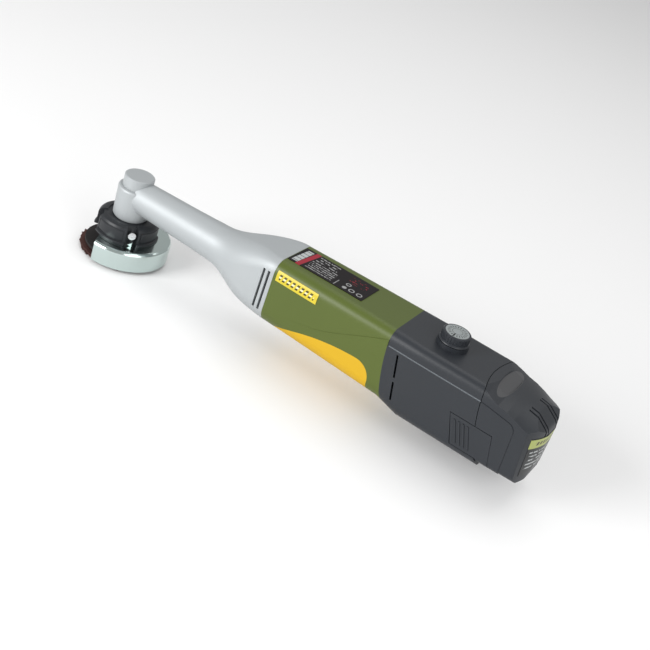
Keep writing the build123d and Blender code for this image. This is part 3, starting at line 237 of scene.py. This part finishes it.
# %% A mask for one bar, which can lean
bar_group, bar_in, bar_out = new_group(
    "bar_mask",
    [("Along", FLOAT, 0.0), ("Across", FLOAT, 0.0), ("Centre", FLOAT, 0.0), ("Middle", FLOAT, 0.0),
     ("Half Length", FLOAT, 1.0), ("Half Width", FLOAT, 1.0), ("Slant", FLOAT, 0.0)],
    [("Mask", FLOAT)])
bar_side = add_math(bar_group, "SUBTRACT", bar_in.outputs["Across"], bar_in.outputs["Middle"])
bar_lean = add_math(bar_group, "MULTIPLY", bar_side, bar_in.outputs["Slant"])
bar_upright = add_math(bar_group, "SUBTRACT", bar_in.outputs["Along"], bar_lean)
bar_along = distance_from(bar_group, bar_upright, bar_in.outputs["Centre"])
bar_across = add_math(bar_group, "ABSOLUTE", bar_side, 0.0)
bar_inside = add_math(bar_group, "MULTIPLY",
                      compare_less(bar_group, bar_along, bar_in.outputs["Half Length"]),
                      compare_less(bar_group, bar_across, bar_in.outputs["Half Width"]))
bar_group.links.new(bar_inside, bar_out.inputs["Mask"])
print("bar mask has", len(bar_group.nodes), "nodes")

# %% A mask for dashes, repeated at a pitch
dash_group, dash_in, dash_out = new_group(
    "dash_mask", [("Along", FLOAT, 0.0), ("Pitch", FLOAT, 1.0), ("Share", FLOAT, 0.5)], [("Mask", FLOAT)])
dash_turns = add_math(dash_group, "DIVIDE", dash_in.outputs["Along"], dash_in.outputs["Pitch"])
dash_part = add_math(dash_group, "FLOORED_MODULO", dash_turns, 1.0)
dash_inside = compare_less(dash_group, dash_part, dash_in.outputs["Share"])
dash_group.links.new(dash_inside, dash_out.inputs["Mask"])
print("dash mask has", len(dash_group.nodes), "nodes")

# %% A mask for a ring
ring_group, ring_in, ring_out = new_group(
    "ring_mask",
    [("Along", FLOAT, 0.0), ("Across", FLOAT, 0.0), ("Centre", FLOAT, 0.0), ("Middle", FLOAT, 0.0),
     ("Radius", FLOAT, 1.0), ("Half Width", FLOAT, 0.2)],
    [("Mask", FLOAT)])
ring_x = add_math(ring_group, "SUBTRACT", ring_in.outputs["Along"], ring_in.outputs["Centre"])
ring_y = add_math(ring_group, "SUBTRACT", ring_in.outputs["Across"], ring_in.outputs["Middle"])
ring_reach = add_math(ring_group, "SQRT", sum_of_squares(ring_group, ring_x, ring_y), 0.0)
ring_far = distance_from(ring_group, ring_reach, ring_in.outputs["Radius"])
ring_inside = compare_less(ring_group, ring_far, ring_in.outputs["Half Width"])
ring_group.links.new(ring_inside, ring_out.inputs["Mask"])
print("ring mask has", len(ring_group.nodes), "nodes")


# %% Lay marks over a finish: print, and painted light
class PrintAndPaintedLight:
    """Adds printed marks and painted light to a finish, over two axes of the part in millimetres."""

    def __init__(self, material, along, across):
        self.tree = material.node_tree
        place = next(node for node in self.tree.nodes if node.type == "TEX_COORD").outputs["Object"]
        split = self.tree.nodes.new("ShaderNodeSeparateXYZ")
        self.tree.links.new(place, split.inputs[0])
        self.place = place
        self.height = split.outputs[2]
        self.along = add_math(self.tree, "MULTIPLY", split.outputs[along], PER_METRE)
        self.across = add_math(self.tree, "MULTIPLY", split.outputs[across], PER_METRE)
        self.shader = self.tree.nodes["Principled BSDF"]

    def group(self, tree_group, **values):
        """Mask from one of the shared groups; a value is a number or a socket."""
        node = self.tree.nodes.new("ShaderNodeGroup")
        node.node_tree = tree_group
        for label, value in values.items():
            socket = node.inputs[label.replace("_", " ")]
            if isinstance(value, (int, float)):
                socket.default_value = value
            else:
                self.tree.links.new(value, socket)
        return node.outputs["Mask"]

    def bar(self, centre, middle, half_length, half_width, slant=0.0):
        """Mask of one bar."""
        return self.group(bar_group, Along=self.along, Across=self.across, Centre=centre, Middle=middle,
                          Half_Length=half_length, Half_Width=half_width, Slant=slant)

    def dashes(self, pitch, share, slant=0.0, across=False):
        """Mask of dashes along the part, or of rows across it."""
        axis, other = (self.across, self.along) if across else (self.along, self.across)
        lean = add_math(self.tree, "MULTIPLY", other, slant)
        leaned = add_math(self.tree, "SUBTRACT", axis, lean)
        return self.group(dash_group, Along=leaned, Pitch=pitch, Share=share)

    def ring(self, centre, middle, radius, half_width):
        """Mask of one ring."""
        return self.group(ring_group, Along=self.along, Across=self.across, Centre=centre, Middle=middle,
                          Radius=radius, Half_Width=half_width)

    def speckle(self, scale, share):
        """Uneven breaks, which make a row of dashes look like fine print from afar."""
        noise = add_noise(self.tree, self.place, scale, 1.0, 0.5)
        return add_math(self.tree, "GREATER_THAN", noise.outputs["Fac"], share)

    def both(self, *masks):
        """Where every one of the masks is."""
        result = masks[0]
        for mask in masks[1:]:
            result = add_math(self.tree, "MULTIPLY", result, mask)
        return result

    def lay(self, mask, color):
        """Blend a colour over what is there."""
        mix = self.tree.nodes.new("ShaderNodeMix")
        mix.data_type = "RGBA"
        self.tree.links.new(mask, mix.inputs["Factor"])
        self.tree.links.new(self.shader.inputs["Base Color"].links[0].from_socket, mix.inputs["A"])
        mix.inputs["B"].default_value = (*color, 1.0)
        self.tree.links.new(mix.outputs["Result"], self.shader.inputs["Base Color"])


    def fine_print(self, area, row_pitch, row_share, break_scale, break_share, color):
        """Rows of uneven dashes inside a bar, like small print seen from afar."""
        rows = self.dashes(row_pitch, row_share, across=True)
        self.lay(self.both(area, rows, self.speckle(break_scale, break_share)), color)


SILVER = (0.42, 0.44, 0.44)
RED = (0.30, 0.02, 0.035)
PALE = (0.30, 0.30, 0.30)
OLIVE = (0.06, 0.05, 0.008)
STRAW = (0.70, 0.66, 0.40)
LIME = (0.36, 0.40, 0.12)
print("print colours", SILVER, RED, PALE, OLIVE, STRAW, LIME)

# %% The rating label on top: a silver strip, a red band and rows of fine print
rating = PrintAndPaintedLight(label_film, 0, 1)
silver_strip = rating.bar(114.2, 0.0, 1.9, 8.6, 0.06)
rating.lay(rating.both(silver_strip, rating.dashes(3.6, 0.86, across=True)), SILVER)
rating.lay(rating.bar(118.0, 0.0, 1.5, 10.6, 0.10), RED)
rating.fine_print(rating.bar(129.0, -4.0, 8.5, 4.9), 2.1, 0.42, 900, 0.46, PALE)
rating.fine_print(rating.bar(128.0, 5.4, 7.0, 3.6), 2.6, 0.40, 700, 0.50, PALE)
rating.lay(rating.bar(140.2, -6.3, 0.22, 3.4), PALE)
for centre, middle, radius in ((146.2, -2.4, 1.3), (150.4, -6.6, 1.5), (155.4, -6.6, 1.5)):
    rating.lay(rating.ring(centre, middle, radius, 0.32), PALE)
rating.lay(rating.ring(146.0, -7.2, 0.6, 0.75), PALE)
rating.fine_print(rating.bar(149.5, 4.0, 6.0, 3.4), 2.4, 0.34, 700, 0.55, RED)
print("rating label has", len(label_film.node_tree.nodes), "nodes")

# %% The side badge: a row of slanted dashes with a pale middle
badge = PrintAndPaintedLight(badge_film, 0, 2)
for half_width, ink in ((1.75, OLIVE), (0.55, STRAW)):
    badge.lay(badge.both(badge.bar(125.5, 1.5, 11.6, half_width), badge.dashes(2.9, 0.58, slant=0.35)), ink)
print("badge has", len(badge_film.node_tree.nodes), "nodes")

# %% The rear label: a yellow-green strip over rows of fine print
rear_print = PrintAndPaintedLight(rear_film, 1, 2)
rear_print.lay(rear_print.bar(0.0, -9.0, 17.6, 2.8), LIME)
strip_dashes = rear_print.dashes(2.6, 0.62, slant=0.3)
rear_print.lay(rear_print.both(rear_print.bar(0.0, -9.0, 14.0, 1.1), strip_dashes), OLIVE)
rear_print.fine_print(rear_print.bar(0.0, -20.0, 15.6, 6.2), 2.5, 0.34, 420, 0.44, SILVER)
print("rear label has", len(rear_film.node_tree.nodes), "nodes")

# %% The dial plate: an even ring of marks, a thin circle and a pointer bar
DIAL_TICKS = 20
plate_low, plate_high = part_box("dial_scale_plate")
dial_x = (plate_low.x + plate_high.x) / 2 * PER_METRE
dial_plate = PrintAndPaintedLight(dial_metal, 0, 1)
dial_tree = dial_plate.tree
dial_east = add_math(dial_tree, "SUBTRACT", dial_plate.along, dial_x)
dial_turn = add_math(dial_tree, "ARCTAN2", dial_plate.across, dial_east)
tick_mask = dial_plate.group(dash_group, Along=dial_turn, Pitch=math.tau / DIAL_TICKS, Share=0.30)
dial_plate.lay(dial_plate.both(dial_plate.ring(dial_x, 0.0, 4.7, 0.85), tick_mask), (0.05, 0.055, 0.055))
dial_plate.lay(dial_plate.ring(dial_x, 0.0, 2.9, 0.14), (0.09, 0.10, 0.10))
dial_plate.lay(dial_plate.bar(dial_x, -4.6, 0.35, 1.9), (0.02, 0.02, 0.02))
print("dial plate centre at", round(dial_x, 2), "mm")

# %% The dark shell: a painted highlight, a light line on the panel's top edge where light catches it
panel_highlight_shell = dark_shell.copy()
panel_highlight_shell.name = "panel_highlight_shell"
panel_highlight = PrintAndPaintedLight(panel_highlight_shell, 0, 2)
# Painted highlight: this light line stands in for light catching the panel's top edge.
panel_highlight.lay(panel_highlight.bar(220.0, 0.42, 34.0, 0.22), (0.16, 0.175, 0.19))
print("worn edge on", panel_highlight_shell.name)

# %% The pack: a painted patch of light on the finger scoop behind the seam, where the scoop's floor faces the light
pack_shell_scoop_light = dark_shell.copy()
pack_shell_scoop_light.name = "pack_shell_scoop_light"
SCOOP_CENTRE = 248.4
SCOOP_HALF_LENGTH = 4.3
SCOOP_HALF_WIDTH = 16.6
scoop = PrintAndPaintedLight(pack_shell_scoop_light, 0, 1)
scoop_from_centre = add_math(scoop.tree, "SUBTRACT", scoop.along, SCOOP_CENTRE)
scoop_x = add_math(scoop.tree, "DIVIDE", scoop_from_centre, SCOOP_HALF_LENGTH)
scoop_y = add_math(scoop.tree, "DIVIDE", scoop.across, SCOOP_HALF_WIDTH)
scoop_inside = compare_less(scoop.tree, sum_of_squares(scoop.tree, scoop_x, scoop_y), 1.0)
scoop_top = add_math(scoop.tree, "GREATER_THAN", scoop.height, 0.0)
# Painted light: the scoop is coloured lighter than the shell to stand in for the light its floor catches.
scoop.lay(scoop.both(scoop_inside, scoop_top), (0.062, 0.063, 0.066))
print("finger scoop on", pack_shell_scoop_light.name)

# %% Give every part its finish
finish_of_slot = {
    "cast_alloy": cast_alloy, "bright_steel": bright_steel, "zinc_plate": zinc_plate,
    "green_plastic": green_shell, "yellow_grip": yellow_grip, "dark_plastic": dark_shell,
    "black_plastic": black_collar, "label_film": label_film, "badge_film": badge_film,
    "abrasive": flap_cloth, "backing_fibre": disc_back, "copper": copper, "magnet": dark_iron,
    "iron_core": dark_iron, "carbon": dark_iron, "bronze": bronze, "board_green": board_green,
    "wire_cover": wire_red, "cell_wrap": cell_wrap, "dial_metal": bright_steel,
}
finish_of_part = {"battery_label": rear_film, "dial_scale_plate": dial_metal, "rear_housing": panel_highlight_shell,
                  "battery_case": pack_shell_scoop_light}
for part in frame["record"]["subparts"]:
    node = nodes[part["node"]]
    node.data.materials.clear()
    node.data.materials.append(finish_of_part.get(part["node"], finish_of_slot[part["material_slot"]]))


# %% [markdown]
# ## The flap disc
# The disc's working side is a ring of overlapping cloth flaps glued under a fibre plate. Each
# flap is a short strip that leans on the next one, and their outer corners make a ragged rim.
# One flap is shaped from a plane, given a thickness, and copied round the axis with small
# changes in lean and reach, as a real one has.

# %% One flap
FLAP_LENGTH = 13.4 * MM
FLAP_WIDTH = 8.6 * MM
FLAP_THICKNESS = 0.75 * MM
FLAP_WAVE = 0.35 * MM  # how far its face bends, and how far its outer edge is ragged
bpy.ops.object.select_all(action="DESELECT")
bpy.ops.mesh.primitive_plane_add(size=1.0, location=(0, 0, 0))
flap = bpy.context.object
flap.name = "flap"
bpy.ops.object.mode_set(mode="EDIT")
bpy.ops.mesh.select_all(action="SELECT")
bpy.ops.transform.resize(value=(FLAP_LENGTH, FLAP_WIDTH, 1.0))
bpy.ops.mesh.subdivide(number_cuts=3)
bpy.ops.mesh.extrude_region_move(TRANSFORM_OT_translate={"value": (0, 0, -FLAP_THICKNESS)})
bpy.ops.mesh.select_all(action="SELECT")
bpy.ops.mesh.normals_make_consistent(inside=False)
bpy.ops.object.mode_set(mode="OBJECT")
for point in flap.data.vertices:
    reach = point.co.x / (FLAP_LENGTH / 2)
    lean = point.co.y / (FLAP_WIDTH / 2)
    point.co.z -= FLAP_WAVE * lean * lean
    point.co.x += FLAP_WAVE * math.sin(5.0 * lean) * max(reach, 0.0)
print("one flap has", len(flap.data.polygons), "faces")

# %% Copy it round the axis, join the copies and let them stand for the plain flaps
FLAPS = 34
FLAP_LEAN = -15.0  # degrees
FLAP_MIDDLE = 18.1  # mm from the axis
flap_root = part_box("abrasive_flaps")[1].z
copies = []
for number in range(FLAPS):
    copy = flap.copy()
    copy.data = flap.data.copy()
    bpy.context.scene.collection.objects.link(copy)
    lean = Matrix.Rotation(math.radians(FLAP_LEAN + 1.6 * math.sin(number * 2.4)), 4, "X")
    middle = (FLAP_MIDDLE + 0.28 * math.sin(number * 4.1)) * MM
    place = Matrix.Translation((middle, 0, flap_root - 1.75 * MM))
    around = Matrix.Rotation(math.tau * number / FLAPS, 4, "Z")
    copy.data.transform(around @ place @ lean)
    copies.append(copy)
bpy.data.objects.remove(flap)
bpy.ops.object.select_all(action="DESELECT")
for copy in copies:
    copy.select_set(True)
bpy.context.view_layer.objects.active = copies[0]
bpy.ops.object.join()
flap_ring = bpy.context.object
flap_ring.name = "flap_ring"
flap_ring.data.materials.clear()
flap_ring.data.materials.append(flap_cloth)
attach(flap_ring, "spindle")
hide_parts("abrasive_flaps")
print("flap ring has", len(flap_ring.data.polygons), "faces")


# %% [markdown]
# ## The guard's index mark
# A small bright arrowhead stands on the guard below the collar's screw and shows where the
# guard points. It starts as a three-sided disc, and its upper edges are bevelled.

# %% Index mark
MARK_BEARING = -44.0  # degrees from the tool's length, as the collar's screw
MARK_REACH = 18.2  # mm from the axis
guard_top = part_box("guard_clamp")[0].z
bpy.ops.object.select_all(action="DESELECT")
bpy.ops.mesh.primitive_cylinder_add(vertices=3, radius=2.1 * MM, depth=1.0 * MM, location=(0, 0, 0))
index_mark = bpy.context.object
index_mark.name = "index_mark"
bpy.ops.object.mode_set(mode="EDIT")
bpy.ops.mesh.select_all(action="SELECT")
bpy.ops.mesh.bevel(offset=0.35 * MM, segments=2)
bpy.ops.object.mode_set(mode="OBJECT")
upright = Matrix.Rotation(math.radians(90), 4, "Y") @ Matrix.Rotation(math.radians(180), 4, "Z")
around = Matrix.Rotation(math.radians(MARK_BEARING), 4, "Z")
place = Matrix.Translation((MARK_REACH * MM, 0, guard_top + 1.0 * MM))
index_mark.data.transform(around @ place @ upright)
index_mark.data.materials.append(zinc_plate)
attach(index_mark, "guard")
print("index mark at", [round(v, 4) for v in index_mark.data.vertices[0].co])


# %% [markdown]
# ## Floor, light and camera
# A pale floor and a few large soft lights, as for a catalogue picture. The strongest light
# stands to the left of the camera and rather low, so that the sides are brighter than the top.

# %% Floor
bpy.ops.object.select_all(action="DESELECT")
bpy.ops.mesh.primitive_plane_add(size=6.0, location=(0.12, 0, cad_low.z - 0.0005))
floor = bpy.context.object
floor.name = "floor"
paper = bpy.data.materials.new("floor_paper")
paper.use_nodes = True
paper_shader = paper.node_tree.nodes["Principled BSDF"]
paper_shader.inputs["Base Color"].default_value = (0.90, 0.90, 0.90, 1.0)
paper_shader.inputs["Roughness"].default_value = 0.8
floor.data.materials.append(paper)
print("floor at", round(floor.location.z, 4))

# %% Lights
AIM = Vector((0.12, 0.0, -0.015))


def soft_light(name, place, size, power):
    """Square area light that faces the tool."""
    data = bpy.data.lights.new(name, "AREA")
    data.size = size
    data.energy = power
    lamp = bpy.data.objects.new(name, data)
    lamp.location = place
    lamp.rotation_euler = (AIM - Vector(place)).to_track_quat("-Z", "Y").to_euler()
    bpy.context.scene.collection.objects.link(lamp)
    print(name, power, "W")


soft_light("key_light", (-0.45, -0.95, 0.40), 0.6, 13.0)
soft_light("fill_light", (0.95, -0.45, 0.45), 0.7, 4.0)
soft_light("top_light", (0.1, 0.45, 1.1), 0.9, 4.0)
world = bpy.data.worlds.new("studio")
world.use_nodes = True
sky = world.node_tree.nodes["Background"]
sky.inputs["Color"].default_value = (1.0, 1.0, 1.0, 1.0)
sky.inputs["Strength"].default_value = 0.5
bpy.context.scene.world = world
bpy.context.scene.view_settings.view_transform = "Standard"

# %% Camera
camera_data = bpy.data.cameras.new("camera")
camera_data.lens = 68.8
camera_data.sensor_width = 36.0
camera_data.clip_start = 0.05
camera = bpy.data.objects.new("camera", camera_data)
turn = Matrix((
    (0.81228, -0.49260, 0.31231),
    (0.49845, 0.30822, -0.81028),
    (0.30288, 0.81385, 0.49590)))
camera.matrix_world = Matrix.Translation((0.3560, -0.5593, 0.3204)) @ turn.to_4x4()
bpy.context.scene.collection.objects.link(camera)
bpy.context.scene.camera = camera
print("camera lens", camera_data.lens, "mm")
